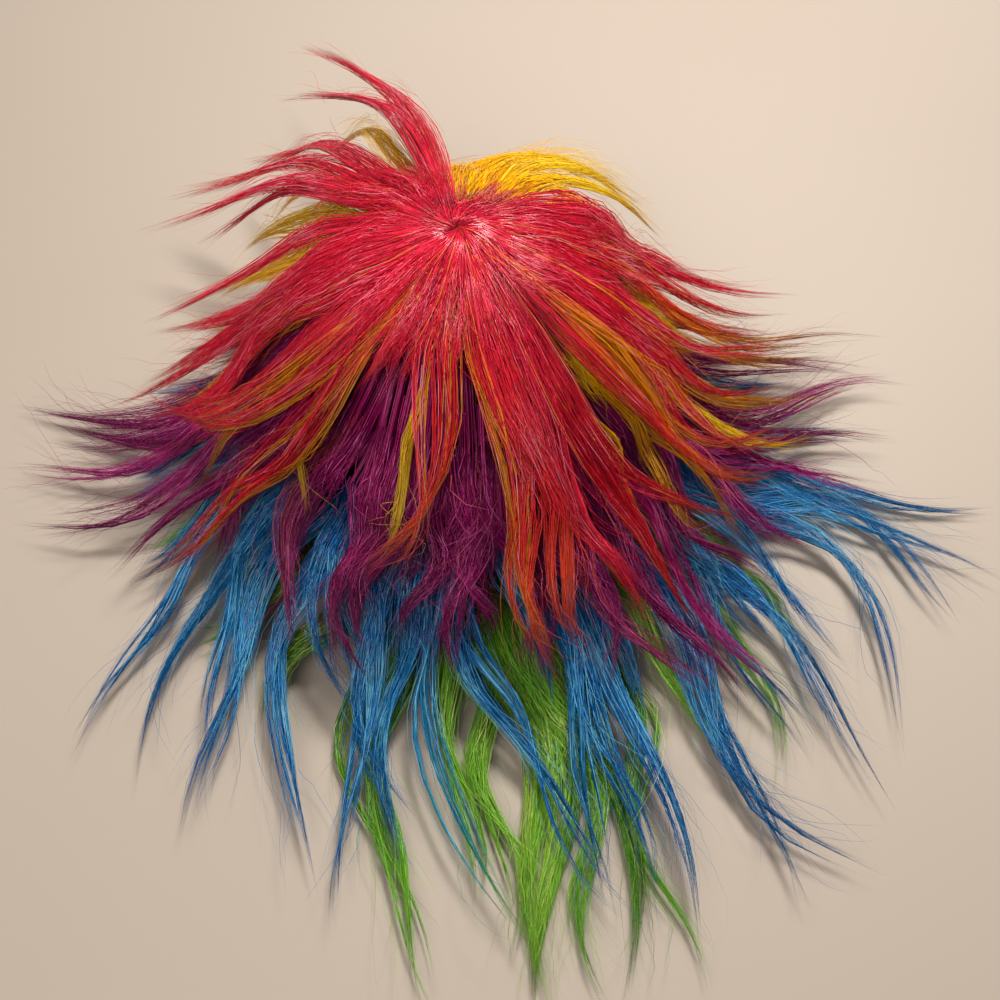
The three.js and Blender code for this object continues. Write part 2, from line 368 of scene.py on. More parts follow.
@dataclass(frozen=True)
class NetFinish:
    """Dark knitted net of the cap."""

    name: str = "cap_net"
    thread: Colour = (52, 40, 46)
    gap: Colour = (20, 15, 18)
    rows: float = 28.0
    columns: float = 12.0
    loop: float = 0.6

    def material(self) -> bpy.types.Material:
        """Builds the finish: rows and columns of loops on the cap's own map."""
        g = Graph(self.name)
        uv = g.node("ShaderNodeUVMap", {"uv_map": HAIR_MAP}, {}).outputs[0]
        bands = []
        for way, scale in (("X", self.rows), ("Y", self.columns)):
            wave = {"wave_type": "BANDS", "bands_direction": way}
            made = g.node("ShaderNodeTexWave", wave, {"Vector": uv, "Scale": scale})
            bands.append(Value(g, made.outputs[1]) * self.loop)
        loops = (bands[0] + bands[1]).clamp()
        base = g.blend(loops, linear(self.gap), linear(self.thread))
        bump = g.node("ShaderNodeBump", {}, {"Strength": 0.4, "Distance": 0.0006, "Height": loops})
        return g.dress(Base_Color=base, Roughness=0.85, Normal=bump.outputs[0])


@dataclass(frozen=True)
class FloorFinish:
    """The pale table top."""

    name: str = "pale_floor"
    colour: Colour = (182, 171, 161)
    shade: Colour = (176, 164, 153)
    clouds: float = 3.0

    def material(self) -> bpy.types.Material:
        """Builds the finish: one pale colour with a faint cloudiness."""
        g = Graph(self.name)
        where = g.node("ShaderNodeTexCoord", {}, {}).outputs["Object"]
        cloud = g.noise(where, self.clouds, 2.0)
        base = g.blend(cloud, linear(self.colour), linear(self.shade))
        return g.dress(Base_Color=base, Roughness=0.6)


@dataclass
class Mesh:
    """Vertices, triangles and map of one piece while it is put together, in mm."""

    points: list[Array] = field(default_factory=list)
    corners: list[Array] = field(default_factory=list)
    maps: list[Array] = field(default_factory=list)
    count: int = 0

    def add(self, points: Array, corners: Array, maps: Array) -> None:
        """Adds a batch of vertices, the triangles between them and their map.

        Args:
            points: Vertices, n by 3.
            corners: Vertex numbers of each triangle, m by 3.
            maps: Map of each vertex, n by 2.
        """
        self.points.append(points)
        self.corners.append(corners + self.count)
        self.maps.append(maps)
        self.count += len(points)

    def triangles(self) -> int:
        """How many triangles there are so far."""
        return sum(len(c) for c in self.corners)

    def piece(self, name: str, material: bpy.types.Material, shift: Array) -> bpy.types.Object:
        """Makes the object, at the origin and in metres.

        Args:
            name: Name of the piece.
            material: Its finish.
            shift: What is added to every point, in mm.

        Returns:
            The object, smooth shaded.
        """
        points = (np.concatenate(self.points) + shift) * MM
        corners = np.concatenate(self.corners).astype(np.int32)
        maps = np.concatenate(self.maps)
        mesh = bpy.data.meshes.new(name)
        mesh.vertices.add(len(points))
        mesh.vertices.foreach_set("co", points.astype(np.float32).ravel())
        mesh.loops.add(corners.size)
        mesh.loops.foreach_set("vertex_index", corners.ravel())
        mesh.polygons.add(len(corners))
        mesh.polygons.foreach_set("loop_start", np.arange(0, corners.size, 3, dtype=np.int32))
        mesh.polygons.foreach_set("use_smooth", np.ones(len(corners), dtype=bool))
        layer = mesh.uv_layers.new(name=HAIR_MAP)
        layer.data.foreach_set("uv", maps[corners.ravel()].astype(np.float32).ravel())
        mesh.update(calc_edges=True)
        mesh.materials.append(material)
        made = bpy.data.objects.new(name, mesh)
        bpy.context.scene.collection.objects.link(made)
        return made


@dataclass(frozen=True)
class Head:
    """The head's plan and the bell that all tiers lie on, in mm about the crown's axis.

    The bell's section goes over the head's top and side as part of an ellipse, round a
    wide arc that touches it and the table, and out along the table. Angles go round the
    crown from the nape, plus to the right.
    """

    radius: float = 98.0
    oval: float = 0.9
    height: float = 130.0
    wall: float = 2.0
    lean: float = 24.0
    leave: float = 54.0
    table_run: float = 420.0
    rim_to_crown: float = 122.0
    side_from: float = 60.0
    steps: int = 400

    def section(self) -> tuple[Array, Array, Array]:
        """The bell's section.

        Returns:
            Run from the crown, distance from the axis and height of its points.
        """
        leave = math.radians(self.leave)
        rise, go = self.height * math.sin(leave), self.radius * math.cos(leave)
        slope = math.atan2(rise, go)
        sweep = self.height * math.cos(leave) / (1.0 - math.cos(slope))
        middle = self.radius * math.sin(leave) + sweep * math.sin(slope)
        t = np.linspace(0.0, leave, self.steps)
        a = np.linspace(slope, 0.0, self.steps)[1:]
        far = np.linspace(middle, self.table_run, self.steps)[1:]
        flat = np.zeros(self.steps - 1)
        r = np.concatenate([self.radius * np.sin(t), middle - sweep * np.sin(a), far])
        z = np.concatenate([self.height * np.cos(t), sweep * (1.0 - np.cos(a)), flat])
        run = np.concatenate([[0.0], np.cumsum(np.hypot(np.diff(r), np.diff(z)))])
        return run, r, z

    def bell(self, run: Array) -> tuple[Array, Array, Array, Array]:
        """Points of the bell and their outward directions.

        Args:
            run: Runs from the crown.

        Returns:
            Distance from the axis, height, and the outward direction's two parts.
        """
        runs, rs, zs = self.section()
        slope_r, slope_z = np.gradient(rs, runs), np.gradient(zs, runs)
        r, z = np.interp(run, runs, rs), np.interp(run, runs, zs)
        out_r, out_z = -np.interp(run, runs, slope_z), np.interp(run, runs, slope_r)
        size = np.hypot(out_r, out_z)
        return r, z, out_r / size, out_z / size

    def run_at_height(self, height: float) -> float:
        """Run at which the bell has come down to a height."""
        runs, _, zs = self.section()
        return float(runs[np.argmax(zs <= height)])

    def wall_behind(self, run: Array) -> Array:
        """How far the cap's wall stands inside the bell, for roots low on the head."""
        r, z, _, _ = self.bell(run)
        wall = self.radius * np.sqrt(np.maximum(0.0, 1.0 - (z / self.height) ** 2))
        return np.where(run > self.side_from, np.maximum(0.0, r - wall), 0.0)

    def on_plan(self, x: Array, y: Array, z: Array) -> Array:
        """Sets a round plan to the head's: narrowed in x, and leaning back with distance."""
        lean = self.lean * ease(np.hypot(x, y) / self.radius)
        return np.stack([x * self.oval, y - lean, z], axis=-1)

    def place(self, angle: Array, run: Array, off: Array) -> Array:
        """Points at an angle round the crown, a run from it and a height off the bell."""
        r, z, out_r, out_z = self.bell(run)
        reach = r + out_r * off
        return self.on_plan(reach * np.sin(angle), -reach * np.cos(angle), z + out_z * off)

    def shift(self) -> Array:
        """From the crown's axis to the model's frame, in mm, by the cap's own box."""
        low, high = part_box("cap")
        middle = (low.x + high.x) / 2.0 / MM
        return np.array([middle, low.y / MM + self.rim_to_crown, 0.0])


@dataclass(frozen=True)
class Layering:
    """How the tiers lie over each other, and how the fringe stands off the forehead."""

    layer: float = 9.0
    lap: float = 26.0
    fade: float = 26.0
    puff_high: float = 24.0
    puff_part: float = 3.0
    puff_from: float = 110.0
    puff_over: float = 40.0
    puff_rise: Span = (30.0, 110.0)
    puff_settle: Span = (170.0, 290.0)
    puff_left: float = 0.1

    def depth(self, below: Wefts, angle: Array, run: Array) -> Array:
        """How far a tier lies off the bell: half its own layer over the tiers below it.

        Args:
            below: Run of the weft and reach round the head of each tier below.
            angle: Angles round the crown.
            run: Runs from the crown.

        Returns:
            Heights off the bell.
        """
        round_head = np.abs((np.degrees(angle) + 180.0) % 360.0 - 180.0)
        off = np.full(np.broadcast(angle, run).shape, self.layer / 2.0)
        for weft_run, reach in below:
            there = 1.0 - ease((round_head - reach) / self.fade)
            off = off + self.layer * there * ease((run - weft_run + self.lap) / self.lap)
        front = ease((round_head - self.puff_from) / self.puff_over)
        low, high = self.puff_rise
        risen = ease((run - low) / (high - low))
        low, high = self.puff_settle
        settled = ease((run - low) / (high - low))
        puff = self.puff_high + self.puff_part * len(below)
        return off + puff * front * risen * (1.0 - (1.0 - self.puff_left) * settled)


@dataclass(frozen=True)
class Strand:
    """One sort of strand: how many for each mm of half width, how thick and how loose."""

    many: float
    points: int
    sides: int
    half: Span
    flat: float
    level: Span
    frizz: float
    starts: Span
    ends: Span
    crimp: float = 0.0
    stray: float = 0.0
    # Painted light round the strand: its top side lighter and its underside darker by this share.
    painted_sheen: float = 0.04


WISP = Strand(0.9, 12, 4, (0.6, 1.2), 0.5, (-0.9, 0.2), 0.3, (0.0, 0.02), (0.86, 0.97), painted_sheen=0.3)
HAIR = Strand(10.2, 10, 3, (0.12, 0.24), 1.0, (-0.3, 1.0), 0.7, (0.0, 0.05), (0.88, 1.03), 0.3)
STRAY = Strand(3.4, 11, 3, (0.07, 0.13), 1.0, (0.0, 1.2), 4.2, (0.2, 0.8), (0.7, 1.02), 0.6, 11.0)


@dataclass(frozen=True)
class Clumps:
    """How the clumps of a lock differ in place, length, sway, drift and lightness.

    Places and drifts are shares of the half width, cuts are shares of the length, and turns
    are waves along the lock. A lock sways fully where its reach is the full one, in mm.
    """

    many: int = 4
    spread: float = 0.7
    apart: float = 0.15
    cut: Span = (0.88, 1.0)
    swing: Span = (0.5, 1.4)
    swing_apart: float = 0.25
    swing_calm: float = 0.3
    full_reach: float = 220.0
    turns: Span = (0.7, 1.6)
    phase_apart: float = 0.4
    fan: float = 0.14
    wild: float = 3.5
    wild_share: float = 0.12
    tone: float = 0.08


@dataclass(frozen=True)
class Comb:
    """How strands lie across a lock, draw together, taper and fray, and how light they are.

    Places along a lock are shares of its length. Only the half width of a lock whose strays
    fly out fully is in mm.
    """

    fill_share: float = 0.6
    shortest: float = 0.2
    narrow: float = 0.6
    taper_from: float = 0.25
    taper_over: float = 0.45
    root_width: float = 0.75
    whorl_width: float = 0.35
    draw: float = 0.75
    drawn_by: float = 0.8
    settle: float = 0.4
    waves: Span = (0.8, 2.4)
    stray_waves: float = 1.3
    stray_half: float = 9.0
    stray_curve: float = 1.6
    stray_rise: float = 0.6
    stir: float = 3.0
    stirred: float = 0.08
    domed: float = 0.8
    plump: float = 1.6
    least: float = 0.2
    point_curve: float = 3.0
    point_least: float = 0.15
    under_to: float = 0.7
    tone: Span = (0.46, 0.16)
    # Painted shade: strands lower in the lock darker, strands on top lighter.
    painted_shade_by_level: float = 0.18
    tone_range: Span = (0.06, 0.94)
    edge_from: float = 0.45
    edge_share: float = 0.85

    def lightness(self, level: Array, drift: Array, rng: np.random.Generator) -> Array:
        """How light strands are: random tone, clump drift, and painted shade by level."""
        made = rng.normal(*self.tone, level.shape) + self.painted_shade_by_level * level + drift
        return np.clip(made, *self.tone_range)


@dataclass(frozen=True)
class Forehead:
    """The short hair on the cap's front: its reach to each side, its clumps and its lie.

    Reach, clumps, wave and sweep are degrees round the crown, with so many wisps and hairs
    for each degree of reach. Heights of the ends and distances off the cap are in mm.
    """

    reach: float = 74.0
    wisps: float = 2.0
    hairs: float = 6.5
    clump: float = 9.0
    draw: float = 0.3
    wave: float = 1.5
    waves: float = 5.0
    sweep: float = 12.0
    ends: Span = (1.5, 9.0)
    off: float = 2.2
    deep: float = 1.6
    thick: float = 2.7
    point_curve: float = 6.0
    point_least: float = 0.2
    dye_from: float = 0.1
    dye_over: float = 0.7


@dataclass
class Tier:
    """A tier of hair: its weft or whorl, its locks and their strands.

    Columns of a lock: angle of the root round the head and of the tip round the crown,
    sideways bow in degrees, distance of the tip from the crown, lift of the tip, arch
    of the middle, half width and dye. Where a lock needs them, the share of its width
    left in the tail (0 for the tier's own) and the side with edge dye follow. In these
    rows lengths are in mm and angles in degrees.
    """

    name: str
    slot: str
    weft: float
    reach_round: float
    finish: HairFinish
    locks: tuple[tuple, ...]
    fill: int
    fill_reach: tuple[Span, ...]
    seed: int
    dense: float = 1.0
    tail: float = 0.4
    frizz: float = 1.0
    stained: float = 0.05
    fill_up: float = 0.0
    fill_bow: float = 0.5
    fill_drop: float = 0.5
    fill_half: Span = (4.0, 11.0)
    fill_slope: float = 0.2
    fill_tail: float = 0.8
    under: float = 0.5
    crown: bool = False
    thick: float = 6.5
    clumps: Clumps = Clumps()
    comb: Comb = Comb()
    forehead: Forehead | None = None
    sway: float = 9.0
    root_blend: float = 34.0
    full_width_at: float = 0.33
    point: float = 6.0
    point_wide: float = 2.2
    whorl_rise: float = 3.2
    whorl_swirl: float = 0.7
    whorl_fade: float = 9.0
    whorl_start: float = 0.4
    root_rise: float = 1.4
    half_lock: float = 2.6
    near_axis: float = 8.0
    most_aside: float = 0.9
    floor: float = 0.35
    lowest: float = 0.1
    ceiling: float = 147.0
    loft: float = 20.0
    calm: int = 4
    calm_by: float = 0.6
    lean_out: float = 0.6
    lean_at: float = 200.0
    chart_range: Span = (0.03, 0.97)

    def rows(self) -> Columns:
        """The lock table by column, with plain filling locks between the rows.

        Returns:
            Each column as an array.
        """
        names = ("root", "tip", "bow", "reach", "lift", "arch", "half", "dye", "tail", "edge")
        full = [row + (0,) * (len(names) - len(row)) for row in self.locks]
        table = dict(zip(names, np.array(full, float).T))
        table["tail"] = np.where(table["tail"] > 0.0, table["tail"], self.tail)
        table["fill"] = np.zeros(len(full))
        order = np.argsort(table["root"])
        span = min(self.reach_round, 180.0)
        root = np.linspace(-span, span, self.fill, endpoint=span < 180.0)
        reach = np.interp(root, *np.transpose(self.fill_reach))
        root, reach = root[reach > 0.0], reach[reach > 0.0]
        none = np.zeros(len(root))
        least, most = self.fill_half
        bow = np.interp(root, table["root"][order], table["bow"][order])
        turn = np.interp(root, table["root"][order], (table["tip"] - table["root"])[order])
        more = {
            "root": root,
            "tip": root + turn,
            "bow": bow * self.fill_bow,
            "reach": reach,
            "lift": none - self.fill_drop,
            "arch": none,
            "half": none + most if self.crown else np.clip(self.fill_slope * reach - most, least, most),
            "tail": none + self.fill_tail,
            "dye": none,
            "edge": none,
            "fill": none + 1.0,
        }
        return {n: np.concatenate([table[n], more[n]]) for n in more}

    def paths(self, head: Head, lie: Layering, below: Wefts, rows: Columns,
              u: Array, side: Array, rise: Array) -> Array:
        """Points of strands along their locks.

        A lock runs from its root to its tip in angle and run at an even pace, with a
        half wave of bow. A strand keeps a distance to the side of that line, square to
        it on the bell, and a height over its tier's own depth there.

        Args:
            head: The bell.
            lie: The layering.
            below: The tiers below.
            rows: Lock columns for each strand, each n by 1.
            u: Places along the lock, n by p.
            side: Distance to the side, n by p.
            rise: Height over the tier, n by p.

        Returns:
            Points, n by p by 3.
        """
        root = np.radians(rows["root"])
        x = rows["reach"] * np.sin(np.radians(rows["tip"])) / head.oval
        y = -rows["reach"] * np.cos(np.radians(rows["tip"])) + head.lean
        out = np.hypot(x, y)
        tip = np.arctan2(x, -y)
        tip = tip + 2.0 * np.pi * np.round((root - tip) / (2.0 * np.pi))
        runs = np.linspace(0.0, head.table_run, 3 * head.steps)[None, :]
        r, _, out_r, _ = head.bell(runs)
        reached = r + out_r * lie.depth(below, tip + 0.0 * runs, runs + 0.0 * tip) >= out
        to = runs[0, np.argmax(reached, axis=1)][:, None]
        start = self.whorl_start if self.crown else head.run_at_height(self.weft)
        bow = np.radians(rows["bow"])
        angle = root + (tip - root) * u + bow * np.sin(np.pi * u)
        run = start + (to - start) * u
        near = np.maximum(head.bell(run)[0], self.near_axis)
        turn = (tip - root + bow * np.pi * np.cos(np.pi * u)) * near
        length = np.hypot(turn, to - start)
        aside = side * (to - start) / length / near
        angle_here = angle + np.clip(aside, -self.most_aside, self.most_aside)
        run_here = np.abs(run - side * turn / length)
        if self.crown:
            angle_here = angle_here + self.whorl_swirl * np.exp(-run / self.whorl_fade)
        rooted = (self.whorl_rise if self.crown else self.root_rise) + self.half_lock
        off = mix(
            rooted - head.wall_behind(run_here),
            lie.depth(below, angle_here, run_here),
            ease((run - start) / self.root_blend),
        )
        held = np.clip(u, 0.0, 1.0)
        off = off + rows["lift"] * ease(u) * held + rows["arch"] * np.sin(np.pi * held**2) + rise
        made = head.place(angle_here, run_here, off)
        loft = np.clip(rows["arch"] / self.loft, 0.0, 1.0)[..., None]
        for _ in range(self.calm):
            middle = (made[:, :-2] + made[:, 2:]) / 2.0
            made[:, 1:-1] = mix(made[:, 1:-1], middle, self.calm_by * loft)
        made[..., 2] = np.clip(made[..., 2], self.floor, self.ceiling)
        return made

    def wander(self, rows: Columns, rng: np.random.Generator) -> Columns:
        """How the clumps of each lock wander, the same for all sorts of strand.

        Args:
            rows: Lock columns.
            rng: Random numbers.

        Returns:
            For each lock and clump: its place across, drift of its tip, share of the
            length, size, turns and phase of its sway, and lightness.
        """
        clumps = self.clumps
        n, c = len(rows["root"]), clumps.many
        shape = (n, c)
        cut = rng.uniform(*clumps.cut, shape)
        cut[:, c // 2] = 1.0
        own = rng.choice((-1.0, 1.0), (n, 1)) * rng.uniform(*clumps.swing, (n, 1))
        own = own + clumps.swing_apart * rng.normal(0.0, 1.0, shape)
        calm = np.where((rows["fill"] > 0.0) | (rows["arch"] > 0.0), clumps.swing_calm, 1.0)
        spot = np.linspace(-clumps.spread, clumps.spread, c)
        spot = spot + rng.uniform(-clumps.apart, clumps.apart, shape)
        fan = rng.normal(0.0, clumps.fan, shape)
        fan = fan * np.where(rng.uniform(size=shape) < clumps.wild_share, clumps.wild, 1.0)
        return {
            "spot": spot,
            "fan": fan,
            "cut": cut,
            "sway": own * self.sway * (rows["reach"] / clumps.full_reach * calm)[:, None],
            "turns": rng.uniform(*clumps.turns, (n, 1)) + np.zeros(shape),
            "phase": rng.uniform(0.0, 2.0 * np.pi, (n, 1)) + rng.normal(0.0, clumps.phase_apart, shape),
            "tone": rng.normal(0.0, clumps.tone, shape),
        }

    def strands(self, mesh: Mesh, sort: Strand, head: Head, lie: Layering,
                below: Wefts, rows: Columns, wander: Columns,
                rng: np.random.Generator) -> None:
        """Adds all strands of one sort.

        Within a lock the strands draw together into a few clumps towards the tip. Each
        clump has its own length, sways and drifts aside, so the lock ends in points.

        Args:
            mesh: What they are added to.
            sort: The sort of strand.
            head: The bell.
            lie: The layering.
            below: The tiers below.
            rows: Lock columns.
            wander: How the clumps wander.
            rng: Random numbers.
        """
        comb = self.comb
        share = np.where(rows["fill"] > 0.0, comb.fill_share, 1.0) * self.dense
        many = np.round(sort.many * rows["half"] * share).astype(int)
        lock = np.repeat(np.arange(len(many)), many)
        n = len(lock)
        col = {key: value[lock][:, None] for key, value in rows.items()}
        pick = (lock, rng.integers(0, self.clumps.many, n))
        own = {key: value[pick][:, None] for key, value in wander.items()}
        across = rng.uniform(-1.0, 1.0, (n, 1))
        t = np.linspace(0.0, 1.0, sort.points)[None, :]
        first = rng.uniform(*sort.starts, (n, 1)) - self.fill_up * col["fill"]
        last = np.maximum(rng.uniform(*sort.ends, (n, 1)) * own["cut"], first + comb.shortest)
        u = first + (last - first) * t
        held = np.clip(u, 0.0, 1.0)
        narrow = np.clip((1.0 - col["tail"]) / comb.narrow, 0.0, 1.0)
        blunt = mix(self.point_wide, self.point, narrow)
        taper = ease((u - comb.taper_from) / comb.taper_over)
        body = mix(1.0, col["tail"], taper) * (1.0 - held**blunt)
        root_width = comb.whorl_width if self.crown else comb.root_width
        width = col["half"] * mix(root_width, 1.0, ease(u / self.full_width_at)) * body
        side = mix(across, own["spot"], comb.draw * ease(u / comb.drawn_by)) * width
        side = side + own["fan"] * col["half"] * held**3
        swing = np.sin(2.0 * np.pi * own["turns"] * u + own["phase"])
        side = side + own["sway"] * swing * ease(2.0 * u) * (1.0 - comb.settle * held**2)
        wave = rng.uniform(*comb.waves, (n, 1)) * (comb.stray_waves if sort.stray > 0.0 else 1.0)
        phase = rng.uniform(0.0, 2.0 * np.pi, (n, 2, 1))
        stir = np.where(rng.uniform(size=(n, 1)) < comb.stirred, comb.stir, 1.0)
        frizz = mix(0.7 + 0.3 * self.frizz, self.frizz, col["fill"])
        loose = sort.frizz * frizz * held * stir
        side = side + loose * np.sin(2.0 * np.pi * wave * u + phase[:, 0])
        crimp = sort.crimp * (0.5 + 0.5 * frizz) * held
        side = side + crimp * rng.normal(0.0, 1.0, u.shape)
        level = rng.uniform(*sort.level, (n, 1)) * np.sqrt(1.0 - comb.domed * across**2)
        rise = level * self.thick / 2.0
        rise = rise * np.maximum(np.minimum(1.0, comb.plump * body), comb.least)
        rise = rise + 0.5 * loose * np.sin(2.0 * np.pi * wave * u + phase[:, 1])
        rise = rise + 0.5 * crimp * rng.normal(0.0, 1.0, u.shape)
        if sort.stray > 0.0:
            wild = sort.stray * np.minimum(1.0, col["half"] / comb.stray_half)[:, None]
            away = rng.normal(0.0, 1.0, (n, 2, 1)) * wild * t[None] ** comb.stray_curve
            side = side + away[:, 0]
            rise = rise + np.abs(away[:, 1]) * comb.stray_rise
        points = self.paths(head, lie, below, col, u, side, rise)
        pointed = np.maximum(1.0 - t**comb.point_curve, comb.point_least)
        thin = rng.uniform(*sort.half, (n, 1)) * pointed
        thin = thin * (1.0 + col["fill"] * self.under * (1.0 - ease(u / comb.under_to)))
        # Random tone with painted shade by each strand's level.
        tone = comb.lightness(level, own["tone"], rng)
        edged = across * col["edge"] > comb.edge_from
        edged = edged & (rng.uniform(size=(n, 1)) < comb.edge_share)
        edged = edged | (rng.uniform(size=(n, 1)) < self.stained)
        dye = np.where(edged, EDGE, col["dye"])
        above = self.fill_up * col["fill"]
        self.tubes(mesh, points, thin, sort, (u + above) / (1.0 + above), tone, dye)

    def tubes(self, mesh: Mesh, points: Array, thin: Array, sort: Strand, u: Array,
              tone: Array, dye: Array) -> None:
        """Carries a round or flat ring along each path, closed at the root and the tip.

        Args:
            mesh: What the tubes are added to.
            points: Paths, n by p by 3.
            thin: Half width at each point, n by p.
            sort: The sort of strand.
            u: Place along the lock at each point, n by p.
            tone: Lightness of each strand with painted shade by its level, n by 1.
            dye: Row of the colour chart of each strand, n by 1.
        """
        n, p, _ = points.shape
        s = sort.sides
        ahead = np.gradient(points, axis=1)
        ahead = ahead / np.linalg.norm(ahead, axis=2, keepdims=True)
        outward = self.lean_out * points * np.array([1.0, 1.0, 0.0]) / self.lean_at
        up = np.array([0.0, 0.0, 1.0]) + outward
        across = np.cross(ahead, up)
        across = across / np.maximum(np.linalg.norm(across, axis=2, keepdims=True), 1e-6)
        over = np.cross(across, ahead)
        turn = np.linspace(0.0, 2.0 * np.pi, s, endpoint=False) + np.pi / 2.0
        c, d = np.cos(turn)[None, None, :, None], np.sin(turn)[None, None, :, None]
        ring = across[:, :, None] * c + over[:, :, None] * d * sort.flat
        rings = points[:, :-1, None] + ring[:, :-1] * thin[:, :-1, None, None]
        rings[..., 2] = np.maximum(rings[..., 2], self.lowest)
        body = rings.reshape(n, (p - 1) * s, 3)
        verts = np.concatenate([body, points[:, -1:]], axis=1)
        # Painted light and shade round each ring: lighter on the top side, darker underneath.
        halfway = np.abs(1.0 - 2.0 * np.arange(s) / s)
        painted_sheen = (halfway - 0.5) * sort.painted_sheen
        level = np.clip(tone[:, :, None] + painted_sheen[None, None, :], *self.chart_range)
        chart = (dye[:, :, None] + level) / len(Dye)
        chart = np.broadcast_to(chart, (n, p - 1, s))
        along = np.broadcast_to(np.clip(u, 0.0, 1.0)[:, :-1, None], (n, p - 1, s))
        maps = np.stack([along, chart], axis=-1).reshape(n, (p - 1) * s, 2)
        tip = np.stack([np.clip(u[:, -1:], 0.0, 1.0), (dye + tone) / len(Dye)], axis=-1)
        maps = np.concatenate([maps, tip], axis=1)
        i, j = np.meshgrid(np.arange(p - 2), np.arange(s), indexing="ij")
        a, b = i * s + j, i * s + (j + 1) % s
        quads = np.stack([a, a + s, b, b, a + s, b + s], axis=-1).reshape(-1, 3)
        last = (p - 2) * s
        k = np.arange(s)
        ends = np.stack([last + k, np.full(s, (p - 1) * s), last + (k + 1) % s], axis=-1)
        k = np.arange(1, s - 1)
        cap = np.stack([np.zeros_like(k), k, k + 1], axis=-1)
        one = np.concatenate([quads, ends, cap])
        step = (p - 1) * s + 1
        corners = (one[None] + (np.arange(n) * step)[:, None, None]).reshape(-1, 3)
        mesh.add(verts.reshape(-1, 3), corners, maps.reshape(-1, 2))

    def front(self, mesh: Mesh, sort: Strand, head: Head, rng: np.random.Generator) -> None:
        """Adds the short hair that lies on the cap's front, from the weft to the rim.

        Args:
            mesh: What it is added to.
            sort: The sort of strand.
            head: The cap.
            rng: Random numbers.
        """
        brow = self.forehead
        n = round(brow.reach * (brow.wisps if sort is WISP else brow.hairs))
        t = np.linspace(0.0, 1.0, sort.points)[None, :]
        own = rng.uniform(-brow.reach, brow.reach, (n, 1))
        clump = np.round(own / brow.clump) * brow.clump
        swing = rng.normal(0.0, brow.wave, (n, 1)) * np.sin(brow.waves * t)
        turn = mix(own, clump, brow.draw * t) + swing + brow.sweep * t**2
        angle = np.pi + np.radians(turn)
        ends = rng.uniform(*brow.ends, (n, 1))
        down = np.arccos(np.concatenate([ends * 0.0 + self.weft, ends], axis=1) / head.height)
        down = mix(down[:, :1], down[:, 1:], t)
        level = rng.uniform(*sort.level, (n, 1))
        r = (head.radius + brow.off + brow.deep * level) * np.sin(down)
        points = head.on_plan(r * np.sin(angle), -r * np.cos(angle), head.height * np.cos(down))
        pointed = np.maximum(1.0 - t**brow.point_curve, brow.point_least)
        thin = brow.thick * rng.uniform(*sort.half, (n, 1)) * pointed
        plain = np.zeros((n, 1))
        # Random tone with painted shade by each strand's level.
        tone = self.comb.lightness(level, plain, rng)
        u = brow.dye_from + brow.dye_over * t + 0.0 * down
        self.tubes(mesh, points, thin, sort, u, tone, plain + PLAIN)

    def build(self, head: Head, lie: Layering, below: Wefts) -> None:
        """Builds the tier's hair in place of its solid; the crown's in two pieces.

        Args:
            head: The bell.
            lie: The layering.
            below: Run of the weft and reach round the head of the tiers below.
        """
        rng = np.random.default_rng(self.seed)
        rows = self.rows()
        wander = self.wander(rows, rng)
        material = self.finish.material()
        batches = ((WISP, HAIR, STRAY),) if not self.crown else ((WISP, HAIR), (HAIR, STRAY))
        for number, sorts in enumerate(batches):
            mesh = Mesh()
            for sort in sorts:
                self.strands(mesh, sort, head, lie, below, rows, wander, rng)
            if self.forehead is not None:
                self.front(mesh, WISP, head, rng)
                self.front(mesh, HAIR, head, rng)
            name = self.name + ("_hair", "_top")[number]
            made = mesh.piece(name, material, head.shift())
            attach(made, BODY)
            if number == 0:
                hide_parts(self.name)
            LOG.info("%s: %d triangles", made.name, mesh.triangles())


@dataclass
class Cap:
    """The open net cap under the hair, a thin dome with a plain rim."""

    name: str = "net_cap"
    around: int = 72
    down: int = 24
    finish: NetFinish = NetFinish()

    def build(self, head: Head) -> None:
        """Builds the dome in place of its solid: over the crown to the rim and back inside.

        Args:
            head: Its sizes.
        """
        t = np.linspace(0.0, np.pi / 2.0, self.down + 1)[1:]
        inner_r, inner_z = head.radius - head.wall, head.height - head.wall
        r = np.concatenate([head.radius * np.sin(t), inner_r * np.sin(t[::-1])])
        z = np.concatenate([head.height * np.cos(t), inner_z * np.cos(t[::-1])])
        angle = np.linspace(0.0, 2.0 * np.pi, self.around, endpoint=False)
        x, y = r[:, None] * np.sin(angle), -r[:, None] * np.cos(angle)
        rings = head.on_plan(x, y, z[:, None] + 0.0 * x).reshape(-1, 3)
        poles = np.array([[0.0, 0.0, head.height], [0.0, 0.0, inner_z]])
        points = np.concatenate([rings, poles])
        maps = points[:, :2] / (2.0 * head.radius) + 0.5
        i, j = np.meshgrid(np.arange(len(r) - 1), np.arange(self.around), indexing="ij")
        a, b = i * self.around + j, i * self.around + (j + 1) % self.around
        c, d = a + self.around, b + self.around
        walls = np.stack([a, c, b, b, c, d], axis=-1).reshape(-1, 3)
        k = np.arange(self.around)
        after, top = (k + 1) % self.around, np.full(self.around, len(rings))
        last = (len(r) - 1) * self.around
        crown = np.stack([k, after, top], axis=-1)
        inside = np.stack([last + after, last + k, top + 1], axis=-1)
        corners = np.concatenate([walls, crown, inside])
        mesh = Mesh()
        mesh.add(points, corners, maps)
        made = mesh.piece(self.name, self.finish.material(), head.shift())
        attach(made, BODY)
        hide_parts("cap")
        LOG.info("%s: %d triangles", made.name, mesh.triangles())


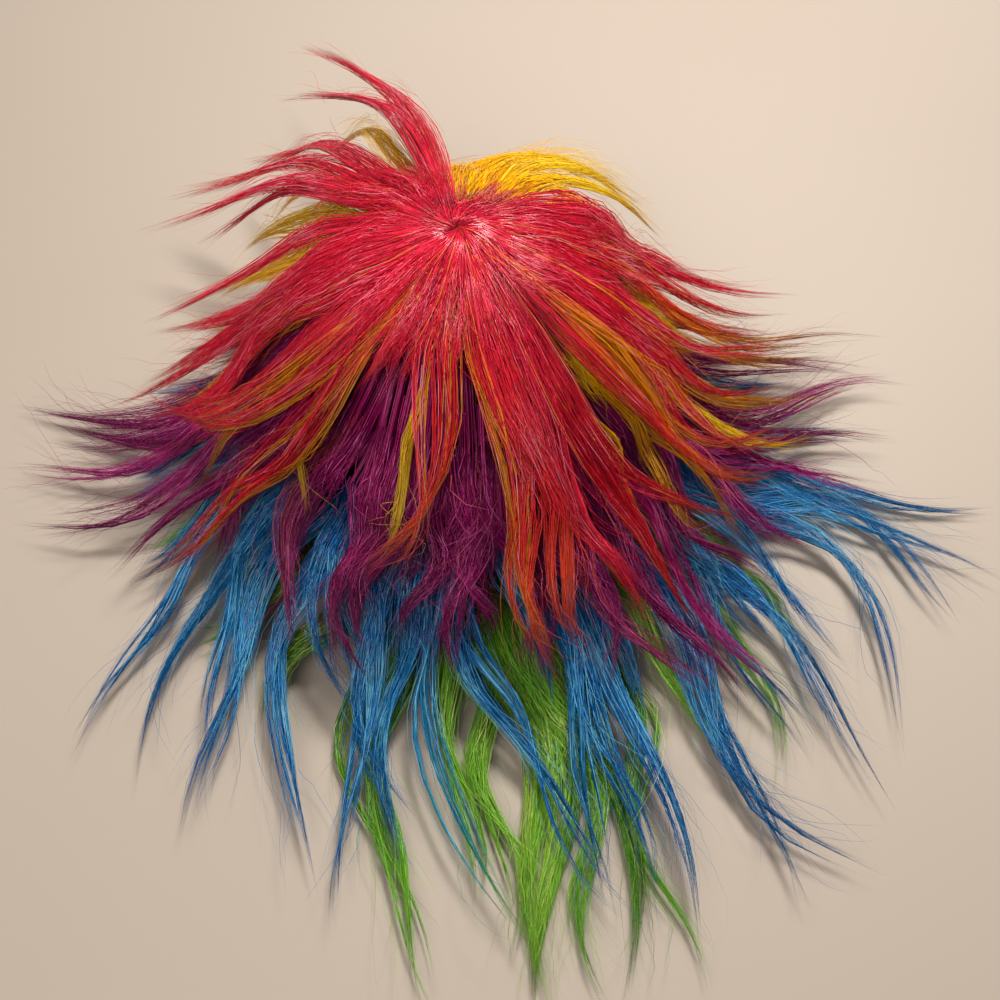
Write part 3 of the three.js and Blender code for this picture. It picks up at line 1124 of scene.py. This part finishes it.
PINK = HairFinish(
    name="pink_hair",
    dyes=(
        # Painted shade: the plain, blend and tip rows start darker at the root end.
        ((0.0, (150, 18, 40)), (0.1, (224, 38, 70)), (1.0, (238, 38, 70))),
        ((0.0, (150, 18, 40)), (0.1, (224, 38, 70)), (0.5, (244, 50, 52)), (0.75, (238, 88, 40)),
         (1.0, (146, 14, 90))),
        ((0.0, (238, 84, 62)), (0.35, (240, 160, 16)), (0.75, (220, 136, 10)), (1.0, (150, 70, 24))),
        ((0.0, (146, 16, 38)), (0.1, (218, 34, 64)), (0.55, (222, 28, 52)), (0.8, (208, 40, 42)),
         (1.0, (138, 12, 76))),
    ),
    painted_glint_and_specular_tint=(255, 156, 190),
    dark=0.2,
    light=1.5,
)
YELLOW = HairFinish(
    name="yellow_hair",
    dyes=(
        # Painted shade: the plain and edge rows start darker at the root end, under the hair over them.
        ((0.0, (150, 96, 4)), (0.12, (240, 174, 6)), (0.5, (248, 190, 8)), (1.0, (238, 178, 10))),
        ((0.0, (236, 172, 6)), (0.5, (214, 140, 12)), (0.8, (150, 74, 30)), (1.0, (122, 18, 84))),
        ((0.0, (150, 96, 4)), (0.15, (244, 184, 8)), (0.6, (250, 208, 48)), (1.0, (232, 176, 22))),
        ((0.0, (236, 168, 4)), (0.6, (196, 130, 8)), (1.0, (150, 92, 12))),
    ),
    painted_glint_and_specular_tint=(255, 232, 120),
    dark=0.65,
    light=1.6,
)
PURPLE = HairFinish(
    name="purple_hair",
    dyes=(
        # Painted shade: the plain, blend and tip rows start darker at the root end, under the hair over
        # them.
        ((0.0, (84, 6, 52)), (0.14, (186, 30, 122)), (0.5, (166, 22, 108)), (0.75, (126, 10, 86)),
         (1.0, (136, 14, 98))),
        ((0.0, (60, 2, 36)), (0.14, (172, 22, 110)), (0.6, (160, 20, 110)), (1.0, (178, 40, 130))),
        ((0.0, (150, 44, 36)), (0.5, (184, 88, 22)), (1.0, (132, 20, 86))),
        ((0.0, (48, 2, 30)), (0.14, (144, 14, 90)), (0.6, (118, 6, 76)), (1.0, (108, 8, 82))),
    ),
    painted_glint_and_specular_tint=(240, 120, 200),
    shine=1.0,
    glint=0.7,
)
BLUE = HairFinish(
    name="blue_hair",
    dyes=(
        ((0.0, (5, 50, 118)), (0.45, (4, 122, 206)), (0.75, (0, 98, 172)), (1.0, (0, 102, 176))),
        ((0.0, (12, 80, 150)), (0.5, (18, 138, 196)), (0.8, (46, 158, 118)), (1.0, (138, 198, 56))),
        ((0.0, (10, 70, 146)), (0.5, (20, 140, 214)), (0.75, (4, 104, 176)), (1.0, (4, 108, 180))),
        ((0.0, (6, 40, 100)), (0.5, (4, 80, 146)), (1.0, (2, 82, 144))),
    ),
    painted_glint_and_specular_tint=(132, 220, 255),
    shine=1.9,
    glint=0.66,
)
GREEN = HairFinish(
    name="green_hair",
    dyes=(
        ((0.0, (80, 148, 30)), (0.5, (116, 192, 52)), (1.0, (122, 196, 58))),
        ((0.0, (96, 164, 36)), (0.5, (148, 216, 70)), (1.0, (136, 204, 62))),
        ((0.0, (132, 194, 40)), (0.6, (186, 230, 80)), (1.0, (150, 206, 54))),
        ((0.0, (56, 114, 18)), (0.6, (76, 148, 28)), (1.0, (92, 162, 36))),
    ),
    painted_glint_and_specular_tint=(232, 250, 150),
    shine=1.1,
    glint=0.72,
)

GREEN_LOCKS = (
    (-46, -40, 0, 200, 0, 0, 10, TIP),
    (-30, -26, 0, 215, 0, 0, 10, TIP),
    (-17, -1, -4, 318, 0, 0, 7, PLAIN),
    (-11, -4, -3, 292, 0, 0, 8, PLAIN),
    (-3, 1, 2, 275, 0, 0, 8, BLEND),
    (4, 5, 1, 298, 0, 0, 8, BLEND),
    (10, 8, 2, 325, 0, 0, 21, BLEND, 0.75, -1),
    (15, 12, 2, 322, 0, 0, 12, PLAIN),
    (24, 13, 4, 320, 0, 0, 10, TIP),
    (30, 18, 1, 326, 0, 0, 8, PLAIN),
    (40, 30, 3, 250, 0, 0, 9, BLEND),
    (54, 33, 8, 268, 0, 0, 7, PLAIN),
    (62, 46, 4, 226, 0, 0, 7, PLAIN),
)
BLUE_LOCKS = (
    (-86, -74, 0, 185, 0, 0, 14, TIP),
    (-70, -56, 0, 205, 0, 0, 14, TIP),
    (-58, -40, -8, 270, -5, 0, 8, PLAIN),
    (-50, -33, -10, 265, -5, 0, 12, EDGE),
    (-50, -27, -11, 240, 0, 0, 8, EDGE),
    (-42, -26, -7, 270, -5, 0, 11, PLAIN, 0, 1),
    (-38, -12, -8, 200, 1, 0, 6, PLAIN),
    (-34, -14, -6, 280, -5, 0, 9, PLAIN),
    (-26, -4, -4, 242, 0, 0, 7, PLAIN),
    (-16, -10, -4, 290, -3, 0, 7, PLAIN),
    (-10, -6, -2, 268, 0, 0, 7, EDGE),
    (-4, 6, -4, 302, 0, 0, 5, BLEND),
    (2, 17, -5, 292, 0, 0, 8, PLAIN),
    (14, 13, 6, 292, 0, 0, 6, EDGE),
    (20, 17, 4, 290, 0, 0, 9, PLAIN),
    (27, 19, 5, 308, 0, 0, 10, PLAIN),
    (42, 28, 5, 314, -5, 0, 10, PLAIN),
    (46, 35, -4, 320, -5, 0, 7, PLAIN),
    (52, 37, 6, 262, -3, 0, 9, TIP),
    (56, 41, 4, 304, -5, 0, 9, PLAIN),
    (60, 49, 7, 254, -3, 0, 9, PLAIN),
    (64, 46, 15, 295, -5, 0, 10, EDGE),
    (68, 62, 8, 284, -5, 0, 12, PLAIN),
    (74, 67, 6, 302, -5, 0, 10, EDGE),
    (84, 76, -2, 288, -5, 0, 8, PLAIN),
    (94, 84, 0, 215, 0, 0, 13, TIP),
)
PURPLE_LOCKS = (
    (-112, -98, 0, 165, 0, 0, 14, PLAIN),
    (-100, -87, 2, 248, -9, 0, 17, PLAIN, 0.75),
    (-95, -84, 2, 226, -8, 0, 13, PLAIN, 0.75),
    (-89, -78, 1, 254, -10, 0, 11, BLEND, 0.7),
    (-82, -71, 3, 242, -10, 0, 13, PLAIN, 0.75),
    (-70, -54, -2, 213, -4, 0, 10, PLAIN),
    (-56, -46, -6, 172, 0, 0, 12, PLAIN),
    (-38, -24, -12, 187, 0, 0, 10, PLAIN, 0, -1),
    (-26, -13, -7, 190, 0, 0, 11, PLAIN),
    (-14, -15, -2, 175, 0, 0, 10, PLAIN),
    (-6, -9, 2, 172, 0, 0, 10, TIP),
    (1, -2, 3, 184, 0, 0, 9, PLAIN),
    (8, 4, 0, 165, 0, 0, 12, PLAIN),
    (16, 13, 0, 188, 0, 0, 10, BLEND),
    (27, 22, 3, 197, 0, 0, 12, BLEND),
    (40, 33, -5, 232, 0, 0, 6, PLAIN),
    (44, 34, 2, 236, 0, 0, 11, TIP),
    (54, 41, 0, 242, 0, 0, 7, BLEND),
    (62, 48, 4, 208, 0, 0, 9, PLAIN),
    (70, 60, 2, 215, 0, 0, 11, PLAIN),
    (80, 72, -2, 232, 0, 0, 10, BLEND),
    (89, 82, -2, 236, -4, 0, 10, PLAIN),
    (98, 90, -1, 246, -4, 0, 10, BLEND),
    (106, 92, 2, 226, 0, 0, 10, PLAIN),
    (118, 102, 0, 178, 0, 0, 14, PLAIN),
)
YELLOW_LOCKS = (
    (178, 140, 5, 168, 1, 20, 14, PLAIN, 0.8),
    (168, 137, 4, 150, 1, 18, 12, EDGE, 0.8),
    (173, 144, 5, 144, 1, 16, 12, PLAIN, 0.8),
    (160, 130, 3, 148, 0, 12, 11, EDGE, 0.8),
    (-173, -176, 0, 145, 1, 0, 13, PLAIN),
    (-162, -152, -4, 200, 4, 38, 11, PLAIN, 0.8),
    (-152, -136, 0, 166, 0, 18, 12, PLAIN, 0.7),
    (-138, -125, 0, 162, 0, 14, 13, PLAIN, 0.7),
    (-124, -113, -3, 156, 0, 8, 13, PLAIN, 0.7),
    (-112, -100, 0, 150, 0, 0, 13, PLAIN),
    (-96, -82, -3, 158, 0, 0, 6, TIP),
    (-78, -55, -4, 158, 0, 0, 5, TIP),
    (-54, -34, -4, 136, 0, 0, 3, EDGE),
    (-14, -15, 0, 140, 0, 0, 4, EDGE),
    (44, 40, 2, 150, 0, 0, 4, TIP),
    (64, 50, -2, 168, 0, 0, 4, TIP),
    (78, 49, 0, 184, 0, 0, 4, TIP),
    (82, 80, -4, 198, 0, 0, 7, EDGE),
    (94, 89, -2, 204, 0, 0, 8, TIP),
    (106, 95, 0, 214, 0, 0, 8, BLEND),
    (121, 97, 0, 238, -4, 0, 7, BLEND),
    (138, 115, 2, 152, 0, 0, 12, TIP),
)
PINK_LOCKS = (
    (-174, -157, -2, 286, 20, 40, 10, PLAIN, 0.5),
    (-166, -152, -4, 266, 0, 48, 7, PLAIN, 0.5),
    (-150, -141, -4, 216, 3, 26, 9, PLAIN, 0.5),
    (-141, -127, -8, 222, 2, 26, 10, PLAIN, 0.5),
    (-134, -119, -10, 214, 2, 24, 8, PLAIN, 0.5),
    (-131, -122, -8, 182, 0, 18, 7, PLAIN, 0.5),
    (-122, -100, -8, 178, 0, 10, 7, PLAIN, 0.6),
    (-110, -97, -4, 172, 0, 0, 12, PLAIN, 0.7),
    (-104, -86, -3, 190, -5, 0, 20, PLAIN, 0.8),
    (-92, -78, -2, 174, -5, 0, 16, PLAIN, 0.7),
    (-66, -86, 5, 170, -4, 0, 10, PLAIN, 0.6, 1),
    (-50, -82, 7, 150, -3, 0, 8, PLAIN, 0.6, 1),
    (-56, -51, 4, 203, -7, 0, 9, TIP, 0.5, 1),
    (-36, -36, -3, 102, 0, 0, 5, PLAIN, 0, 1),
    (-58, -52, 0, 96, 0, 0, 12, PLAIN),
    (-34, -28, 0, 92, 0, 0, 12, PLAIN),
    (-8, -15, 3, 160, 0, 0, 7, BLEND, 0, 1),
    (12, 13, 3, 200, -4, 0, 11, BLEND, 0, -1),
    (20, 19, 2, 192, 0, 0, 12, BLEND),
    (30, 28, 2, 190, 0, 0, 12, PLAIN),
    (40, 35, 0, 198, 0, 0, 9, TIP),
    (52, 57, -10, 180, 0, 0, 5, TIP),
    (66, 68, -8, 178, 0, 0, 8, BLEND, 0.5, 1),
    (77, 77, -6, 180, 0, 0, 9, PLAIN, 0.5, -1),
    (88, 86, -4, 174, 0, 0, 8, TIP, 0.5, 1),
    (99, 94, -2, 188, 0, 0, 9, PLAIN, 0.5, -1),
    (109, 99, 2, 176, 0, 0, 8, BLEND, 0.5, 1),
    (118, 104, 2, 182, 0, 0, 9, TIP, 0.5),
    (127, 107, 4, 192, 0, 0, 10, PLAIN, 0.5),
    (134, 112, 2, 150, 2, 0, 9, PLAIN, 0.6),
)

GREEN_REACH = ((-180, 190), (180, 190))
BLUE_REACH = ((-104, 185), (-60, 200), (-20, 190), (20, 195), (45, 230), (80, 222), (104, 185))
PURPLE_REACH = ((-180, 152), (180, 152))
YELLOW_REACH = (
    (-180, 118), (-150, 128), (-132, 142), (-115, 135), (-100, 112), (-60, 98), (-59, -99),
    (10, -99), (11, 100), (20, 104), (42, 98), (60, 100), (75, 112), (90, 120), (110, 126), (130, 130),
    (150, 126), (180, 118),
)
PINK_REACH = (
    (-180, 50), (-160, 86), (-140, 98), (-124, 58), (-112, 96), (-90, 112), (-60, 90),
    (-30, 88), (0, 92), (8, 104), (20, 118), (32, 100), (42, 60), (60, 64), (74, 84),
    (90, 92), (105, 98), (118, 96), (128, 78), (140, 48), (155, 42), (180, 42),
)
TIERS = (
    Tier("green_nape", "green_hair", 38.0, 66.0, GREEN, GREEN_LOCKS, 7, GREEN_REACH, 11,
         dense=0.9),
    Tier("blue_layer", "blue_hair", 66.0, 104.0, BLUE, BLUE_LOCKS, 10, BLUE_REACH, 12,
         dense=0.78),
    Tier("purple_layer", "purple_hair", 93.0, 126.0, PURPLE, PURPLE_LOCKS, 16, PURPLE_REACH, 13,
         dense=0.64, frizz=3.4, tail=0.45, fill_up=0.45, sway=11.0, under=1.5, stained=0.03),
    Tier("yellow_layer", "yellow_hair", 112.0, 180.0, YELLOW, YELLOW_LOCKS, 18, YELLOW_REACH, 14,
         dense=0.58, tail=0.55, fill_up=0.12, forehead=Forehead()),
    Tier("pink_crown", "pink_hair", 130.0, 180.0, PINK, PINK_LOCKS, 26, PINK_REACH, 15,
         dense=0.48, tail=0.45, crown=True, stained=0.02),
)


@dataclass
class Studio:
    """The table, the soft lights and the camera."""

    aim: Place = (20.0, -75.0, 20.0)
    elevation: float = 58.0
    distance: float = 620.0
    view_angle: float = 45.0
    floor_side: float = 5.0
    floor_drop: float = 0.0003
    sky: Colour = (255, 246, 236)
    sky_strength: float = 0.13
    lamps: tuple[tuple, ...] = (
        ("key", (0.26, 0.66, 1.2), 0.32, 24.5, (255, 248, 238)),
        ("fill", (-0.5, -0.75, 1.1), 0.8, 7.5, (255, 246, 236)),
    )

    def lamp(self, name: str, at: Place, side: float, watts: float, tint: Colour) -> None:
        """Hangs a square soft light that faces the wig.

        Args:
            name: Name of the light.
            at: Where it hangs, in metres.
            side: Length of its side.
            watts: Its strength.
            tint: Its sRGB colour.
        """
        data = bpy.data.lights.new(name, "AREA")
        data.size = side
        data.energy = watts
        data.color = linear(tint)[:3]
        made = bpy.data.objects.new(name, data)
        made.location = at
        made.rotation_euler = (-Vector(at)).to_track_quat("-Z", "Y").to_euler()
        bpy.context.scene.collection.objects.link(made)

    def build(self, head: Head) -> None:
        """Lays the floor, hangs the lights and sets the camera.

        Args:
            head: The head, whose crown the camera's aim is measured from.
        """
        half = self.floor_side / 2.0
        z = -self.floor_drop
        corners = [(-half, -half, z), (half, -half, z), (half, half, z), (-half, half, z)]
        mesh = bpy.data.meshes.new("floor")
        mesh.from_pydata(corners, [], [(0, 1, 2, 3)])
        mesh.materials.append(FloorFinish().material())
        floor = bpy.data.objects.new("floor", mesh)
        bpy.context.scene.collection.objects.link(floor)
        for row in self.lamps:
            self.lamp(*row)
        world = bpy.data.worlds.new("studio")
        world.use_nodes = True
        world.node_tree.nodes["Background"].inputs[0].default_value = linear(self.sky)
        world.node_tree.nodes["Background"].inputs[1].default_value = self.sky_strength
        bpy.context.scene.world = world
        bpy.context.scene.view_settings.view_transform = "Standard"
        self.camera(Vector(head.shift()) + Vector(self.aim))

    def camera(self, aim: Vector) -> None:
        """Sets the camera at the photograph's angle.

        Args:
            aim: What it looks at, in mm.
        """
        data = bpy.data.cameras.new("camera")
        data.angle = math.radians(self.view_angle)
        data.dof.use_dof = False
        made = bpy.data.objects.new("camera", data)
        tilt = math.radians(self.elevation)
        back = Vector((0.0, -math.cos(tilt), math.sin(tilt)))
        made.location = (aim + back * self.distance) * MM
        made.rotation_euler = (-back).to_track_quat("-Z", "Y").to_euler()
        bpy.context.scene.collection.objects.link(made)
        bpy.context.scene.camera = made


def main() -> None:
    """Builds the cap, the tiers from the nape up, and the studio."""
    logging.basicConfig(level=logging.INFO, format="%(name)s %(message)s")
    head, lie = Head(), Layering()
    Studio().build(head)
    Cap().build(head)
    below: Wefts = []
    for tier in TIERS:
        tier.build(head, lie, below)
        below.append((head.run_at_height(tier.weft), tier.reach_round))


if __name__ == "__main__":
    main()
